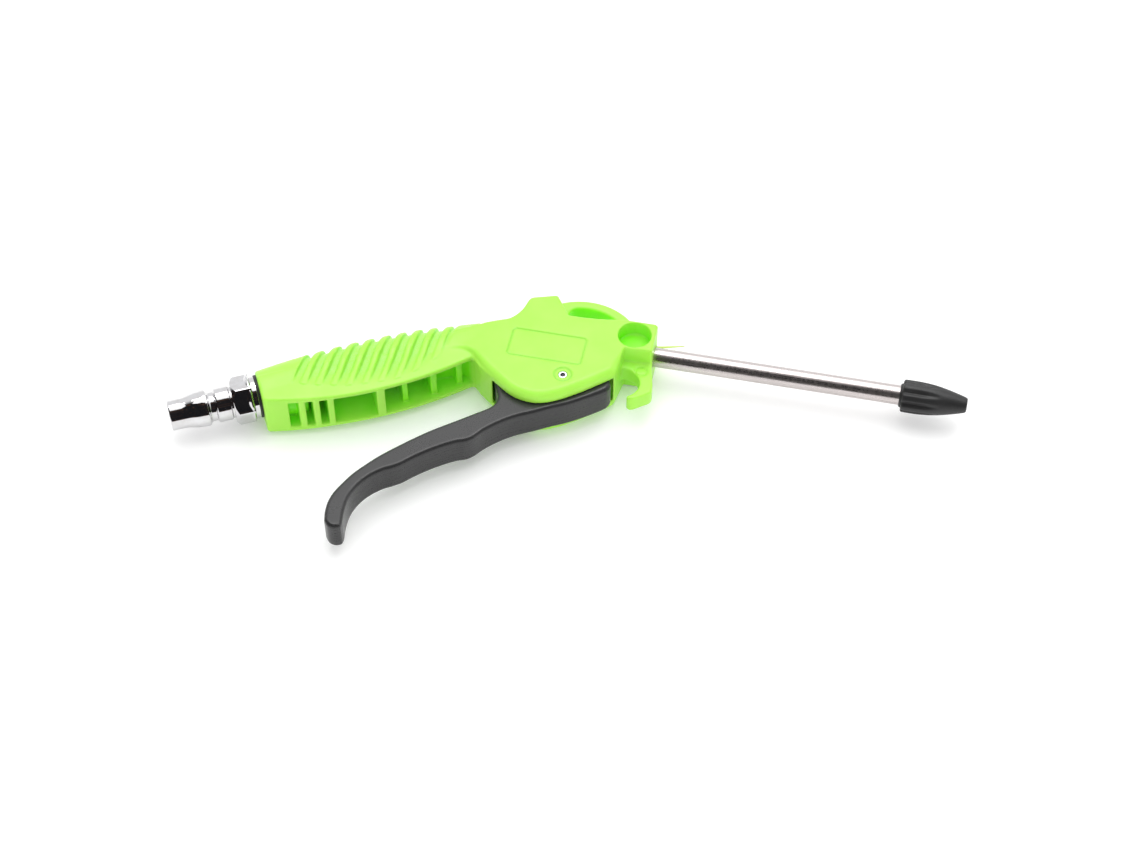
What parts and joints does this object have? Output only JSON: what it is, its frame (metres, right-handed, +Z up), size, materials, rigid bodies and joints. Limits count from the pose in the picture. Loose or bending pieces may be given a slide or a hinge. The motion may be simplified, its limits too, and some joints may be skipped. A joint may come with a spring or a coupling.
{
  "type": "air blow gun",
  "caption": "Hand-held pneumatic air blow gun with a moulded body, a squeeze lever, a long steel nozzle tube with a rubber tip, and a quick-connect inlet plug.",
  "frame": {"origin": "middle of the bounding box in plan, on the surface the gun lies on", "axes": "+X along the nozzle tube towards the tip, +Y towards the hanging loop, +Z up through the thickness of the gun lying on its side"},
  "size_m": [0.2542, 0.1114, 0.019],
  "materials": {
    "body_plastic": "bright lime-green moulded plastic, satin gloss",
    "lever_plastic": "dark grey moulded plastic, satin",
    "tip_rubber": "black, smooth",
    "seal_rubber": "black",
    "plug_chrome": "bright chrome plating on steel",
    "tube_steel": "polished steel with fine lengthways drawing marks",
    "rivet_steel": "plain",
    "stem_steel": "ground",
    "spring_steel": "drawn wire",
    "valve_brass": "turned"
  },
  "bodies": {
    "body": {"gun_body": "body_plastic", "pivot_rivet": "rivet_steel", "inlet_plug": "plug_chrome", "inlet_washer": "seal_rubber", "nozzle_tube": "tube_steel", "tube_collar": "valve_brass", "nozzle_o_ring": "seal_rubber", "nozzle_tip": "tip_rubber", "gland_nut": "valve_brass", "guide_o_ring": "seal_rubber", "stem_o_ring": "seal_rubber", "valve_sleeve": "valve_brass", "valve_seat": "valve_brass", "seat_o_ring": "seal_rubber", "valve_spring": "spring_steel"},
    "lever": {"lever": "lever_plastic"},
    "stem": {"valve_stem": "stem_steel", "poppet_disc": "valve_brass", "poppet_seal": "seal_rubber", "spring_cup": "valve_brass"}
  },
  "joints": [
    {"name": "lever_squeeze", "type": "hinge", "parent": "body", "child": "lever", "pos_m": [-0.00245, 0.01627, 0.0095], "axis": [0, 0, -1], "range_deg": [0, 14], "stiffness_Nm_per_rad": 0.32, "springref_deg": -28.65},
    {"name": "stem_slide", "type": "slide", "parent": "body", "child": "stem", "axis": [0, 1, 0], "range_m": [0, 0.00327], "deforming": ["valve_spring"]}
  ],
  "couplings": [
    {"joint": "stem_slide", "follows": "lever_squeeze", "m_per_rad": 0.01334}
  ]
}
